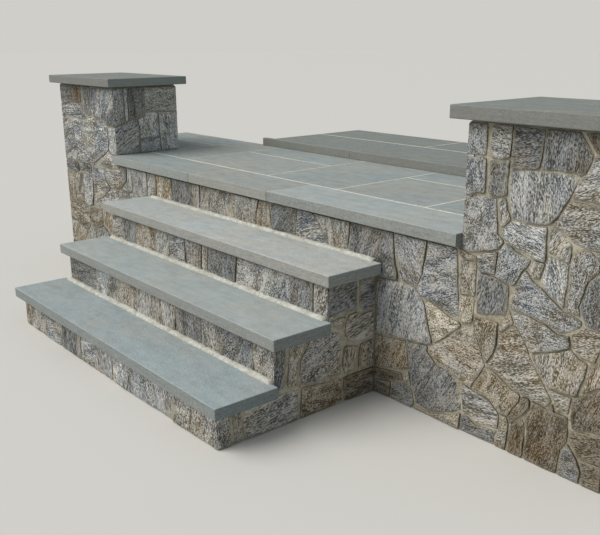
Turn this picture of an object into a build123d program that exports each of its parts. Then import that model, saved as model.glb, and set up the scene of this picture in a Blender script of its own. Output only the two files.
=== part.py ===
from build123d import *
import os

# Outdoor stone steps. X runs along the treads, Y runs up the flight towards the door and Z is up.
# The origin is the middle of the footprint, on the ground. All sizes are millimetres.

# Slabs
slab_thickness = 51
flag_thickness = 38
edge_ease = 4
flag_ease = 2

# Flight
free_treads = 3
rise = 202
going = 282
tread_length = 1966
nosing = 35
side_nosing = 45
tread_joint = 18
fillet_width = 14
fillet_height = 10

# Stone facing and walls
facing = 100
wall_thickness = 200

# Piers and caps
pier_gap = 2768
pier_width = 780
pier_depth = 460
pier_height = 426
cap_overhang = 52
cap_thickness = 50

# Landing
landing_depth = 1035
edge_depth = 277
side_edge_depth = 260
paving_joint = 12
front_joint = 15
edge_joint = 5
pier_clearance = 3
joint_recess = 0.6
edge_joint_recess = 3
edge_left_length = 893
edge_middle_length = 704
column_shares = (0.152, 0.292, 0.202, 0.206, 0.148)
cross_joint_shares = (0, 0.61, 0, 0.65, 0.45)
side_flag_share = 0.52

# Upper step in the door recess
recess_width = 2124
recess_depth = 795
upper_nosing = 30
upper_edge_depth = 443
ear_length = 98
ear_clearance = 1
upper_edge_share = 0.377
upper_flag_shares = (0.46, 0.28, 0.26)

# Levels
riser_count = free_treads + 1
landing_top = riser_count * rise
landing_bearing = landing_top - slab_thickness
upper_top = landing_top + slab_thickness
pier_top = landing_top + pier_height

# Places along Y. wall_y is the face of the front wall and of both piers.
flight_going = free_treads * going
wall_y = (flight_going + nosing - landing_depth - recess_depth) / 2
house_y = wall_y + landing_depth
door_y = house_y + recess_depth
edge_back_y = wall_y - nosing + edge_depth
pier_back_y = wall_y + pier_depth
upper_front_y = house_y - upper_nosing
upper_edge_back_y = upper_front_y + upper_edge_depth

# Places along X
body_half = tread_length / 2 - side_nosing
pier_inner = pier_gap / 2
pier_outer = pier_inner + pier_width
recess_half = recess_width / 2
core_half = body_half - facing

os.makedirs("parts", exist_ok=True)


def riser_face(step):
    """Y of the stone face under free tread number step, counted from the ground."""
    return wall_y - (riser_count - step) * going


def bearing(step):
    """Height of the bed that tread number step lies on, where 0 is the ground."""
    return step * rise - slab_thickness if step else 0


def save(part, name):
    part.label = name
    export_step(part, f"parts/{name}.step")


def rectangle_at(x_low, x_high, y_low, y_high):
    """A rectangle between two corners, in the sketch that is open."""
    with Locations(((x_low + x_high) / 2, (y_low + y_high) / 2)):
        Rectangle(x_high - x_low, y_high - y_low)


def masonry(x_low, x_high, y_low, y_high, z_low, z_high):
    """A plain block of walling."""
    with BuildPart() as block:
        with BuildSketch(Plane.XY.offset(z_low)):
            rectangle_at(x_low, x_high, y_low, y_high)
        extrude(amount=z_high - z_low)
    return block.part


def sawn_slab(x_low, x_high, y_low, y_high, top, thickness, ease, free_sides):
    """A flat slab whose edges are eased along the sides that show, such as front or left."""
    with BuildPart() as sheet:
        with BuildSketch(Plane.XY.offset(top - thickness)):
            rectangle_at(x_low, x_high, y_low, y_high)
        extrude(amount=thickness)
        across = sheet.edges().filter_by(Axis.X)
        along = sheet.edges().filter_by(Axis.Y)
        upright = sheet.edges().filter_by(Axis.Z)
        eased = ShapeList()
        if "front" in free_sides:
            eased += across.group_by(Axis.Y)[0]
        if "back" in free_sides:
            eased += across.group_by(Axis.Y)[-1]
        if "left" in free_sides:
            eased += along.group_by(Axis.X)[0]
        if "right" in free_sides:
            eased += along.group_by(Axis.X)[-1]
        if "front" in free_sides and "left" in free_sides:
            eased += upright.group_by(Axis.Y)[0].sort_by(Axis.X)[:1]
        if "front" in free_sides and "right" in free_sides:
            eased += upright.group_by(Axis.Y)[0].sort_by(Axis.X)[-1:]
        if "back" in free_sides and "left" in free_sides:
            eased += upright.group_by(Axis.Y)[-1].sort_by(Axis.X)[:1]
        if "back" in free_sides and "right" in free_sides:
            eased += upright.group_by(Axis.Y)[-1].sort_by(Axis.X)[-1:]
        fillet(eased, radius=ease)
    return sheet.part


def spans(low, high, shares, joint):
    """Splits a length into pieces by share, with a joint between neighbours."""
    pieces = []
    start = low
    for share in shares:
        end = start + share * (high - low) / sum(shares)
        first = start if start == low else start + joint / 2
        last = end - joint / 2 if len(pieces) < len(shares) - 1 else high
        pieces.append((first, last))
        start = end
    return pieces


# Flight: each lift is a stone riser between two stone side returns, round a concrete core
for step in range(1, riser_count):
    face = riser_face(step)
    bed = bearing(step - 1)
    top = bearing(step)
    save(masonry(-core_half, core_half, face, face + facing, bed, top), f"riser_{step}")
    save(masonry(-body_half, -core_half, face, wall_y, bed, top), f"left_return_{step}")
    save(masonry(core_half, body_half, face, wall_y, bed, top), f"right_return_{step}")

with BuildPart() as flight_core:
    with BuildSketch(Plane.YZ.offset(-core_half)):
        for step in range(1, riser_count):
            rectangle_at(riser_face(step) + facing, wall_y, 0, bearing(step))
    extrude(amount=2 * core_half)
save(flight_core.part, "flight_core")

# Treads: each runs back to a mortar joint in front of the next riser
for step in range(1, riser_count):
    front = riser_face(step) - nosing
    back = riser_face(step + 1) - tread_joint
    tread = sawn_slab(
        -tread_length / 2,
        tread_length / 2,
        front,
        back,
        step * rise,
        slab_thickness,
        edge_ease,
        ("front", "left", "right"),
    )
    save(tread, f"tread_{step}")

# Mortar behind each tread, struck off as a small slope against the riser
with BuildPart() as tread_mortar:
    with BuildSketch(Plane.YZ.offset(-body_half)):
        for step in range(1, riser_count):
            riser = riser_face(step + 1)
            level = step * rise
            rectangle_at(riser - tread_joint, riser, bearing(step), level)
            with BuildLine():
                Polyline(
                    (riser - tread_joint - fillet_width, level),
                    (riser, level),
                    (riser, level + fillet_height),
                    close=True,
                )
            make_face()
    extrude(amount=2 * body_half)
save(tread_mortar.part, "tread_mortar")

# Landing walls
save(masonry(-pier_inner, pier_inner, wall_y, wall_y + wall_thickness, 0, landing_bearing), "front_wall")
for side, name in ((-1, "left"), (1, "right")):
    outer = sorted((side * pier_outer, side * (pier_outer - wall_thickness)))
    save(masonry(*outer, pier_back_y, house_y, 0, landing_bearing), f"{name}_side_wall")
    back = sorted((side * (pier_outer - wall_thickness), side * recess_half))
    save(masonry(*back, house_y - wall_thickness, house_y, 0, landing_bearing), f"{name}_back_wall")
    recess = sorted((side * recess_half, side * (recess_half - wall_thickness)))
    save(masonry(*recess, house_y, door_y, 0, landing_top), f"{name}_recess_wall")

recess_inner = recess_half - wall_thickness
save(masonry(-recess_inner, recess_inner, door_y - wall_thickness, door_y, 0, landing_top), "door_wall")

# Fill inside the walls
core_front_y = wall_y + wall_thickness
core_back_y = house_y - wall_thickness
with BuildPart() as landing_core:
    with BuildSketch():
        rectangle_at(-pier_inner, pier_inner, core_front_y, core_back_y)
        rectangle_at(wall_thickness - pier_outer, pier_outer - wall_thickness, pier_back_y, core_back_y)
        rectangle_at(-recess_half, recess_half, core_back_y, house_y)
    extrude(amount=landing_bearing)
save(landing_core.part, "landing_core")
upper_core = masonry(-recess_inner, recess_inner, house_y, door_y - wall_thickness, 0, landing_top)
save(upper_core, "upper_core")

# Piers and their caps
for side, name in ((-1, "left"), (1, "right")):
    low, high = sorted((side * pier_inner, side * pier_outer))
    save(masonry(low, high, wall_y, pier_back_y, 0, pier_top), f"{name}_pier")
    cap = sawn_slab(
        low - cap_overhang,
        high + cap_overhang,
        wall_y - cap_overhang,
        pier_back_y + cap_overhang,
        pier_top + cap_thickness,
        cap_thickness,
        edge_ease,
        ("front", "back", "left", "right"),
    )
    save(cap, f"{name}_pier_cap")

# Slabs along the front of the landing, between the piers
edge_start = -pier_inner + pier_clearance
edge_joints = (edge_start + edge_left_length, edge_start + edge_left_length + edge_middle_length)
edge_ends = (
    (edge_start, edge_joints[0] - edge_joint / 2),
    (edge_joints[0] + edge_joint / 2, edge_joints[1] - edge_joint / 2),
    (edge_joints[1] + edge_joint / 2, pier_inner - pier_clearance),
)
for (low, high), name in zip(edge_ends, ("left", "middle", "right")):
    edge = sawn_slab(
        low, high, wall_y - nosing, edge_back_y, landing_top, slab_thickness, edge_ease, ("front",)
    )
    save(edge, f"landing_edge_{name}")

# Slabs along the open sides of the landing, behind the piers
for side, name in ((-1, "left"), (1, "right")):
    low, high = sorted((side * (pier_outer + nosing), side * (pier_outer + nosing - side_edge_depth)))
    side_edge = sawn_slab(
        low,
        high,
        pier_back_y + pier_clearance,
        house_y,
        landing_top,
        slab_thickness,
        edge_ease,
        (name,),
    )
    save(side_edge, f"landing_side_edge_{name}")

# Paving flags: columns of different widths between the piers, some with a cross joint
paving_front_y = edge_back_y + front_joint
flags = []
columns = spans(-pier_inner, pier_inner, column_shares, paving_joint)
for (low, high), share in zip(columns, cross_joint_shares):
    shares = (share, 1 - share) if share else (1,)
    for near, far in spans(paving_front_y, house_y, shares, paving_joint):
        flags.append((low, high, near, far))

side_inner = pier_inner + paving_joint
side_outer = pier_outer + nosing - side_edge_depth - paving_joint
side_front_y = pier_back_y + paving_joint
for near, far in spans(side_front_y, house_y, (side_flag_share, 1 - side_flag_share), paving_joint):
    flags.append((-side_outer, -side_inner, near, far))
    flags.append((side_inner, side_outer, near, far))

with BuildPart() as landing_flags:
    for low, high, near, far in flags:
        add(sawn_slab(low, high, near, far, landing_top, flag_thickness, flag_ease, ("front",)))
save(landing_flags.part, "landing_flags")

# Mortar bed of the paving, which also fills the joints of the flags and of the edge slabs to just below their faces
with BuildPart() as landing_bed:
    with BuildSketch(Plane.XY.offset(landing_bearing)):
        rectangle_at(-pier_inner, pier_inner, edge_back_y, house_y)
        bed_outer = pier_outer + nosing - side_edge_depth
        rectangle_at(-bed_outer, bed_outer, pier_back_y, house_y)
        for (_, low), (high, _) in zip(edge_ends, edge_ends[1:]):
            rectangle_at(low, high, wall_y - nosing + edge_joint_recess, edge_back_y)
    extrude(amount=slab_thickness - joint_recess)
    with BuildSketch(Plane.XY.offset(landing_top - flag_thickness)):
        for low, high, near, far in flags:
            rectangle_at(low, high, near, far)
    extrude(amount=flag_thickness, mode=Mode.SUBTRACT)
save(landing_bed.part, "landing_bed")

# Upper step: two edge slabs, each with an ear that returns in front of the house wall
upper_low = -recess_half - ear_length
upper_high = recess_half + ear_length
upper_edges = spans(upper_low, upper_high, (upper_edge_share, 1 - upper_edge_share), edge_joint)
for (low, high), name in zip(upper_edges, ("left", "right")):
    with BuildPart() as upper_edge:
        add(
            sawn_slab(
                low,
                high,
                upper_front_y,
                upper_edge_back_y,
                upper_top,
                slab_thickness,
                edge_ease,
                ("front", name),
            )
        )
        with BuildSketch(Plane.XY.offset(landing_top)):
            notch_y = house_y - ear_clearance
            if name == "left":
                rectangle_at(low, -recess_half, notch_y, upper_edge_back_y)
            else:
                rectangle_at(recess_half, high, notch_y, upper_edge_back_y)
        extrude(amount=slab_thickness, mode=Mode.SUBTRACT)
    save(upper_edge.part, f"upper_edge_{name}")

upper_paving_y = upper_edge_back_y + front_joint
upper_columns = spans(-recess_half, recess_half, upper_flag_shares, paving_joint)
with BuildPart() as upper_flags:
    for low, high in upper_columns:
        add(sawn_slab(low, high, upper_paving_y, door_y, upper_top, flag_thickness, flag_ease, ("front",)))
save(upper_flags.part, "upper_flags")

with BuildPart() as upper_bed:
    with BuildSketch(Plane.XY.offset(landing_top)):
        rectangle_at(-recess_half, recess_half, upper_edge_back_y, door_y)
        for (_, low), (high, _) in zip(upper_edges, upper_edges[1:]):
            rectangle_at(low, high, upper_front_y + edge_joint_recess, upper_edge_back_y)
    extrude(amount=slab_thickness - joint_recess)
    with BuildSketch(Plane.XY.offset(upper_top - flag_thickness)):
        for low, high in upper_columns:
            rectangle_at(low, high, upper_paving_y, door_y)
    extrude(amount=flag_thickness, mode=Mode.SUBTRACT)
save(upper_bed.part, "upper_bed")
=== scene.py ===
import math
import random

import bmesh
import bpy
import numpy as np
from bpy.props import FloatProperty, FloatVectorProperty, IntProperty, PointerProperty
from mathutils import Matrix, Vector, noise
from mathutils.geometry import delaunay_2d_cdt


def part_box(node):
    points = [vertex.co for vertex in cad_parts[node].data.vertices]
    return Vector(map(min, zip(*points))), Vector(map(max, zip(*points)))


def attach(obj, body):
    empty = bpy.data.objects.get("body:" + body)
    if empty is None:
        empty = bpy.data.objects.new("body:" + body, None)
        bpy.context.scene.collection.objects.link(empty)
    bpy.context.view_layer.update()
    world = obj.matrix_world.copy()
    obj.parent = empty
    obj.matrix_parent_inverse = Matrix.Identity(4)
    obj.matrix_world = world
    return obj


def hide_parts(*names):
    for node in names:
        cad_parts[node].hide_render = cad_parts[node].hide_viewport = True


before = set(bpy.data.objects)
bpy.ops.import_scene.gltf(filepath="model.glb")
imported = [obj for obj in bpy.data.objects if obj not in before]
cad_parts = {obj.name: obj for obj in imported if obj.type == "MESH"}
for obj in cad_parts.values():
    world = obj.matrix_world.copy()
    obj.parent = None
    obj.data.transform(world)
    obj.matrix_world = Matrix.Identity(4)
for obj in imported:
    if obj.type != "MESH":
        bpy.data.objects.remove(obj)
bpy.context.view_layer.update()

bl_info = {
    "name": "Outdoor Stone Steps",
    "version": (1, 0, 0),
    "blender": (4, 5, 0),
    "location": "View3D > Sidebar > Stone Steps",
    "description": "Lays the stone facing, mortar and slab finishes of a flight of stone steps between two piers",
    "category": "Object",
}


def linear(hex_colour):
    """Turns an sRGB hex colour into the linear RGB that shaders and lights use."""
    channels = [int(hex_colour[i : i + 2], 16) / 255 for i in (1, 3, 5)]
    return tuple(c / 12.92 if c <= 0.04045 else ((c + 0.055) / 1.055) ** 2.4 for c in channels)


# Settings that a user would change


def length_setting(name, description, default, low, high):
    return FloatProperty(
        name=name, description=description, default=default, min=low, max=high, subtype="DISTANCE", unit="LENGTH"
    )


def colour_setting(name, description, hex_colour):
    return FloatVectorProperty(
        name=name, description=description, default=linear(hex_colour), size=3, min=0, max=1, subtype="COLOR"
    )


class FacingSettings(bpy.types.PropertyGroup):
    joint_width: length_setting("Joint width", "Mortar showing between two stones", 0.0085, 0.004, 0.04)
    tight_joint_width: length_setting(
        "Tight joint width", "The same for the squared stones of the risers and of the left pier", 0.0065, 0.003, 0.04
    )
    wide_joint_width: length_setting("Wide joint width", "The same on the sides of the flight", 0.017, 0.004, 0.04)
    slab_gap: length_setting(
        "Gap under slabs", "Height of the open joint between the stones and the slab on them", 0.014, 0.001, 0.02
    )
    joint_depth: length_setting("Joint depth", "How far the mortar lies behind the wall's face", 0.0045, 0, 0.03)
    smeared_depth: length_setting("Smeared joint depth", "The same where the mortar was smeared flat", 0.003, 0, 0.03)
    flush_depth: length_setting(
        "Flush joint depth", "The same on the house side, where stones lie behind the face", 0.016, 0.008, 0.025
    )
    proud: length_setting("Stones proud", "How far the stones stand in front of the wall's face", 0.003, 0, 0.01)
    shoulder: length_setting("Shoulder", "Width over which a stone's face rolls off to its joints", 0.004, 0.003, 0.04)
    drop: length_setting("Shoulder drop", "How far a stone's edge lies behind its face", 0.002, 0, 0.015)
    relief: FloatProperty(
        name="Face relief",
        description="How rough the split faces are, where 1 is as split by hand",
        default=1.0,
        min=0,
        max=2,
        subtype="FACTOR",
    )
    detail: length_setting("Mesh spacing", "Distance between points on a stone's face", 0.0105, 0.006, 0.05)
    seed: IntProperty(name="Seed", description="Another number splits the stones anew", default=4)


class ColourSettings(bpy.types.PropertyGroup):
    blue_slabs: colour_setting("Blue slabs", "The lowest tread", "#99a3a5")
    mid_slabs: colour_setting("Mixed slabs", "The middle tread and the right edge slab", "#a1a8a7")
    grey_slabs: colour_setting("Grey slabs", "The upper tread", "#aeb2b0")
    cool_flags: colour_setting("Cool flags", "The bluer flags and the left edge slabs", "#929a99")
    warm_flags: colour_setting("Warm flags", "The greyer flags and the middle edge slab", "#979b98")
    dark_slabs: colour_setting("Dark slabs", "The caps of the piers", "#808582")
    # The upper step's colour is darkened with painted shade, as under a porch roof
    upper_slabs: colour_setting("Upper slabs", "The upper step", "#7e8380")
    mortar: colour_setting("Wall mortar", "Joints between the other stones", "#b1ac9c")
    tight_mortar: colour_setting("Tight joints", "Joints of the risers and of the left pier", "#9a988f")
    paving_mortar: colour_setting("Paving mortar", "Joints between the flags", "#d3d4ce")
    fillet_mortar: colour_setting("Fillet mortar", "The fillets along the risers", "#bcbeb8")
    edge_mortar: colour_setting("Edge mortar", "Joints between the edge slabs", "#9a9c93")


class StageSettings(bpy.types.PropertyGroup):
    key_strength: FloatProperty(
        name="Key light", description="Strength of the large soft light from the front left", default=3.0, min=0
    )
    sky_strength: FloatProperty(
        name="Sky", description="Strength of the even light from all round", default=0.43, min=0, subtype="FACTOR"
    )
    floor_colour: colour_setting("Floor", "Colour of the plain floor", "#cfcecb")


SETTINGS = {"stone_facing": FacingSettings, "stone_colours": ColourSettings, "stone_stage": StageSettings}

# Small helpers for nodes and objects


def add(tree, kind, links=None, stops=(), **settings):
    """Adds a node, sets its settings, and links or sets its sockets: a node gives the first output that it has in use,
    and a hex colour is made linear. stops fills a colour ramp."""
    made = tree.nodes.new("ShaderNode" + kind)
    for name, value in settings.items():
        setattr(made, name, value)
    for socket, value in (links or {}).items():
        if isinstance(value, bpy.types.Node):
            value = next(output for output in value.outputs if output.enabled)
        if isinstance(value, bpy.types.NodeSocket):
            tree.links.new(value, made.inputs[socket])
        else:
            made.inputs[socket].default_value = (*linear(value), 1) if isinstance(value, str) else value
    for i, (place, colour) in enumerate(stops):
        elements = made.color_ramp.elements
        element = elements[i] if i < len(elements) else elements.new(1.0)
        element.position, element.color = place, (*linear(colour), 1)
    return made


def new_material(name):
    material = bpy.data.materials.new(name)
    material.use_nodes = True
    material.node_tree.nodes.clear()
    return material, material.node_tree


def finish_material(tree, colour, roughness, height, distance):
    """A stone-like surface: colour, even gloss and a bump from height."""
    bump = add(tree, "Bump", {"Height": height, "Strength": 1.0, "Distance": distance})
    look = {"Base Color": colour, "Roughness": roughness, "IOR": 1.5, "Specular IOR Level": 0.35, "Normal": bump}
    add(tree, "OutputMaterial", {"Surface": add(tree, "BsdfPrincipled", look)})


def noise_sum(tree, place, roughness, layers):
    """The sum of noises of several sizes, each around 0. A layer is its scale, as one number or one for each axis, its
    detail, its distortion and its share."""
    total = None
    for scale, detail, distortion, share in layers:
        at = place
        if isinstance(scale, tuple):
            at = add(tree, "Mapping", {"Vector": place, "Scale": scale})
            scale = 1.0
        look = {"Vector": at, "Scale": scale, "Detail": detail, "Roughness": roughness, "Distortion": distortion}
        spots = add(tree, "TexNoise", look)
        step = add(tree, "Math", {0: spots, 1: share, 2: -share / 2}, operation="MULTIPLY_ADD")
        total = add(tree, "Math", {0: total, 1: step}, operation="ADD") if total else step
    return total


def tinted(colour, *tint):
    """A colour times a tint, with the alpha that sockets ask for."""
    return (*(c * t for c, t in zip(colour, tint)), 1)


def deselect():
    if bpy.context.object and bpy.context.object.mode != "OBJECT":
        bpy.ops.object.mode_set(mode="OBJECT")
    bpy.ops.object.select_all(action="DESELECT")


def cover(mesh, *finishes):
    """Gives a mesh the materials of its finishes in place of its own."""
    mesh.materials.clear()
    for finish in finishes:
        mesh.materials.append(MATERIALS[finish])


def dress(obj, finish, nodes=()):
    """Gives a new piece its material and body, and hides the nodes that it stands for."""
    cover(obj.data, finish)
    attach(obj, "root")
    if nodes:
        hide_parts(*nodes)


def block(name, low, high):
    """A box from low to high, left in edit mode for its edges to be worked."""
    deselect()
    bpy.ops.mesh.primitive_cube_add(size=1, location=(low + high) / 2, scale=high - low)
    obj = bpy.context.object
    obj.name = obj.data.name = name
    bpy.ops.object.transform_apply(location=True, rotation=True, scale=True)
    bpy.ops.object.mode_set(mode="EDIT")
    bpy.ops.mesh.select_mode(type="EDGE")
    return obj


def select_edges(obj, test):
    """Selects the edges whose two ends pass the test, in edit mode."""
    bpy.ops.mesh.select_all(action="DESELECT")
    shell = bmesh.from_edit_mesh(obj.data)
    for edge in shell.edges:
        edge.select = test(edge.verts[0].co, edge.verts[1].co)
    bmesh.update_edit_mesh(obj.data)


def make_uneven(obj, size, strength):
    """Moves an object's points in and out in soft waves, as the trowel leaves mortar."""
    name = f"trowel_marks_{1000 * size:.0f}_mm"
    marks = bpy.data.textures.get(name) or bpy.data.textures.new(name, "CLOUDS")
    marks.noise_scale = size
    modifier = obj.modifiers.new("Uneven", "DISPLACE")
    modifier.texture, modifier.texture_coords, modifier.strength = marks, "LOCAL", strength
    bpy.ops.object.modifier_apply(modifier=modifier.name)


# Materials

MATERIALS = {}

# The kinds of stone, the colour of each and their places on the colour ramp
STONE_KINDS = {
    "slate": "#747574",
    "blue": "#8f9191",
    "grey": "#93918b",
    "light": "#a2a4a3",
    "warm": "#938d81",
    "pale": "#aaa393",
    "rust": "#8f8574",
    "umber": "#6f6658",
}
KIND_PLACES = {kind: i / (len(STONE_KINDS) - 1) for i, kind in enumerate(STONE_KINDS)}

# Painted light and shade: the brightness of each finish's front and end edges beside that of its top, set by how much
# light falls on each face
PAINTED_EDGE_SHADE = {
    "blue_slabs": (0.66, 0.58),
    "mid_slabs": (0.68, 0.57),
    "grey_slabs": (0.69, 0.61),
    "dark_slabs": (0.84, 1.05),
    "upper_slabs": (0.95, 0.95),
    "cool_flags": (0.92, 0.75),
    "warm_flags": (0.92, 0.75),
}


def split_gneiss():
    """Banded gneiss, split by hand: light and dark streaks and flecks run along each stone's own grain. The attributes
    read here are written on the stones as they are laid."""
    material, tree = new_material("split_gneiss")
    grain = add(tree, "Attribute", attribute_name="grain").outputs["Vector"]
    kind, tone, rim = (add(tree, "Attribute", attribute_name=n).outputs["Fac"] for n in ("kind", "tone", "rim"))
    body = add(tree, "ValToRGB", {"Fac": kind}, stops=list(zip(KIND_PLACES.values(), STONE_KINDS.values())))
    # Hard specks 3 mm wide, flecks up to 30 mm long, thin streaks up to 125 mm long and bands of 50 to 140 mm
    layers = (
        ((115, 340, 265), 1.0, 0.1, 14.0),
        ((34, 140, 105), 3.0, 0.4, 2.7),
        ((8, 120, 70), 2.0, 0.4, 4.2),
        ((7, 18, 13), 2.0, 1.0, 7.4),
    )
    level = noise_sum(tree, grain, 0.75, layers)
    with_tone = add(tree, "Math", {0: tone, 1: 0.4, 2: level}, operation="MULTIPLY_ADD")
    bright = add(
        tree, "MapRange", {"Value": with_tone, "From Min": -1.36, "From Max": 2.0, "To Min": 0.3, "To Max": 2.3}
    )
    # Patches of 100 mm lean to blue or to brown
    lean_place = add(tree, "Mapping", {"Vector": grain, "Scale": (8, 12, 10)})
    lean = add(tree, "TexNoise", {"Vector": lean_place, "Scale": 1.0, "Detail": 1.0})
    tint = add(tree, "ValToRGB", {"Fac": lean}, stops=((0.34, "#f6faff"), (0.5, "#fdfcfb"), (0.66, "#fff8ed")))
    leaning = add(tree, "VectorMath", {0: body, 1: tint}, operation="MULTIPLY")
    # The flecks are less coloured than the body: most of their light and dark is plain grey
    coloured = 0.3
    share = add(tree, "Math", {0: bright, 1: coloured, 2: 1 - coloured}, operation="MULTIPLY_ADD")
    scaled = add(tree, "VectorMath", {0: leaning, "Scale": share}, operation="SCALE")
    rest = add(tree, "Math", {0: bright, 1: 1 - coloured, 2: coloured - 1}, operation="MULTIPLY_ADD")
    fleck = add(tree, "Math", {0: add(tree, "RGBToBW", {"Color": leaning}), 1: rest}, operation="MULTIPLY")
    speckled = add(tree, "VectorMath", {0: scaled, 1: fleck}, operation="ADD")
    # Iron stain in soft patches about 120 mm wide
    stain_place = add(tree, "Mapping", {"Vector": grain, "Scale": (8, 9, 8)})
    stain = add(tree, "TexNoise", {"Vector": stain_place, "Scale": 1.0, "Detail": 3.0})
    stain_share = add(tree, "MapRange", {"Value": stain, "From Min": 0.58, "From Max": 0.8, "To Max": 0.3})
    stained = add(tree, "Mix", {0: stain_share, 6: speckled, 7: "#8a7c62"}, data_type="RGBA")
    # Mortar smears over the stones' edges, more in some places than in others
    smear_place = add(tree, "Mapping", {"Vector": grain, "Scale": (22, 22, 22)})
    smear = add(tree, "TexNoise", {"Vector": smear_place, "Scale": 1.0, "Detail": 2.0})
    edge_sum = add(tree, "Math", {0: rim, 1: smear}, operation="ADD")
    edge_share = add(
        tree, "MapRange", {"Value": edge_sum, "From Min": 0.4, "From Max": 1.0, "To Min": 0.45, "To Max": 0.0}
    )
    edged = add(tree, "Mix", {0: edge_share, 6: stained, 7: "#a09985"}, data_type="RGBA")
    # The stones' sides, down in the joints, are darkened with painted shade and with dirt
    depth = add(tree, "MapRange", {"Value": rim, "From Min": -0.2, "From Max": -0.01, "To Min": 0.42, "To Max": 1.0})
    with_painted_shade_and_dirt = add(tree, "VectorMath", {0: edged, "Scale": depth}, operation="SCALE")
    finish_material(tree, with_painted_shade_and_dirt, 0.86, level, 0.0006)
    return material


def struck_mortar(name, colour, grain_size=0.004, low=0.6, edge_colour=None, edge_line=0.0):
    """Lime and sand mortar, struck off with a trowel: matt, sandy and a little uneven in colour. Its dark patches have
    the low share of its colour. In front of the edge line it takes the edge colour, to match the edge slabs."""
    material, tree = new_material(name)
    place = add(tree, "TexCoord").outputs["Object"]
    # The grains of sand, and patches of 20 and 70 mm
    layers = ((1 / grain_size, 3.0, 0.0, 1.0), (55.0, 3.0, 0.0, 1.3), (14.0, 3.0, 0.0, 1.2))
    sand = noise_sum(tree, place, 0.65, layers)
    share = add(tree, "MapRange", {"Value": sand, "From Min": -0.42, "From Max": 0.42})
    # The dark patches are browner, from damp and from the soil
    dark = tinted([low * c for c in colour], 1.02, 0.97, 0.86)
    light = (*(min(0.9, 1.25 * c) for c in colour), 1)
    shade = add(tree, "Mix", {0: share, 6: dark, 7: light}, data_type="RGBA")
    if edge_colour:
        level = add(tree, "SeparateXYZ", {"Vector": place}).outputs["Y"]
        in_front = add(tree, "Math", {0: level, 1: edge_line}, operation="LESS_THAN")
        shade = add(tree, "Mix", {0: in_front, 6: shade, 7: (*edge_colour, 1)}, data_type="RGBA")
    finish_material(tree, shade, 0.93, sand, 0.002)
    return material


def thermal_bluestone(name, colour, front, ends):
    """Bluestone sawn to thickness and flame finished: a fine even grain, faint clouds of cool and warm grey, and sawn
    edges, which painted shade makes darker than the tops and a painted tint of the light makes bluer at the ends and
    browner at the fronts."""
    material, tree = new_material(name)
    coords = add(tree, "TexCoord")
    place = coords.outputs["Object"]
    clouds = {"Vector": place, "Scale": 3.2, "Detail": 5.0, "Roughness": 0.6, "Distortion": 0.8}
    hue = add(tree, "MapRange", {"Value": add(tree, "TexNoise", clouds), "From Min": 0.4, "From Max": 0.62})
    cool, warm = tinted(colour, 0.965, 1.0, 1.03), tinted(colour, 1.035, 1.0, 0.975)
    clouded = add(tree, "Mix", {0: hue, 6: cool, 7: warm}, data_type="RGBA")
    # Long soft streaks from the saw and the flame, blotches of 60 mm and grit of 4 mm
    layers = (((5, 22, 22), 4.0, 0.0, 0.9), ((14, 20, 20), 3.0, 0.0, 0.9), ((150, 230, 230), 2.0, 0.0, 1.8))
    level = noise_sum(tree, place, 0.65, layers)
    top_level = add(
        tree, "MapRange", {"Value": level, "From Min": -0.5, "From Max": 0.5, "To Min": 0.76, "To Max": 1.26}
    )
    top = add(tree, "VectorMath", {0: clouded, "Scale": top_level}, operation="SCALE")
    # The sawn edges show specks and the bed in thin level lines
    layers = (((9, 9, 120), 2.0, 0.0, 0.25), ((60, 60, 110), 2.0, 0.0, 0.3), ((150, 150, 170), 2.0, 0.0, 0.5))
    bed = noise_sum(tree, place, 0.5, layers)
    facing = add(tree, "SeparateXYZ", {"Vector": coords.outputs["Normal"]})
    sideways = add(tree, "Math", {0: facing.outputs["X"]}, operation="ABSOLUTE")
    # Painted shade: the front edges keep the front share of the top's brightness and the ends the ends share, by how
    # light falls on them
    painted_face_shade = add(tree, "Math", {0: sideways, 1: ends - front, 2: front}, operation="MULTIPLY_ADD")
    bed_with_painted_shade = add(tree, "Math", {0: bed, 1: painted_face_shade}, operation="ADD")
    # Painted tint of the light: the ends lean blue, as lit by the sky, and the fronts brown
    browner, bluer = tinted(colour, 1.03, 0.985, 0.95), tinted(colour, 0.96, 1.0, 1.0)
    painted_light_tint = add(tree, "Mix", {0: sideways, 6: browner, 7: bluer}, data_type="RGBA")
    edge = add(tree, "VectorMath", {0: painted_light_tint, "Scale": bed_with_painted_shade}, operation="SCALE")
    upward = {"Value": facing.outputs["Z"], "From Min": 0.3, "From Max": 0.8, "To Min": 1.0, "To Max": 0.0}
    shade = add(tree, "Mix", {0: add(tree, "MapRange", upward), 6: top, 7: edge}, data_type="RGBA")
    finish_material(tree, shade, 0.74, level, 0.0014)
    return material


def cast_fill():
    """Lean concrete, poured between the walls, which nothing shows once the slabs are on."""
    material, tree = new_material("lean_concrete")
    place = add(tree, "TexCoord").outputs["Object"]
    pebbles = add(tree, "TexVoronoi", {"Vector": place, "Scale": 45.0})
    shade = add(tree, "ValToRGB", {"Fac": pebbles}, stops=((0.0, "#8d8a82"), (0.7, "#a7a49b")))
    finish_material(tree, shade, 0.95, pebbles, 0.004)
    return material


# Stones listed one by one. Each is its kind, the direction of its grain in degrees from level, and its corners on the
# middle lines of the joints, in millimetres along the wall and up from the ground.

# Near the ground the kinds run darker and browner, for soil stains and for painted shade and brown light thrown up by
# the soil
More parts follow.
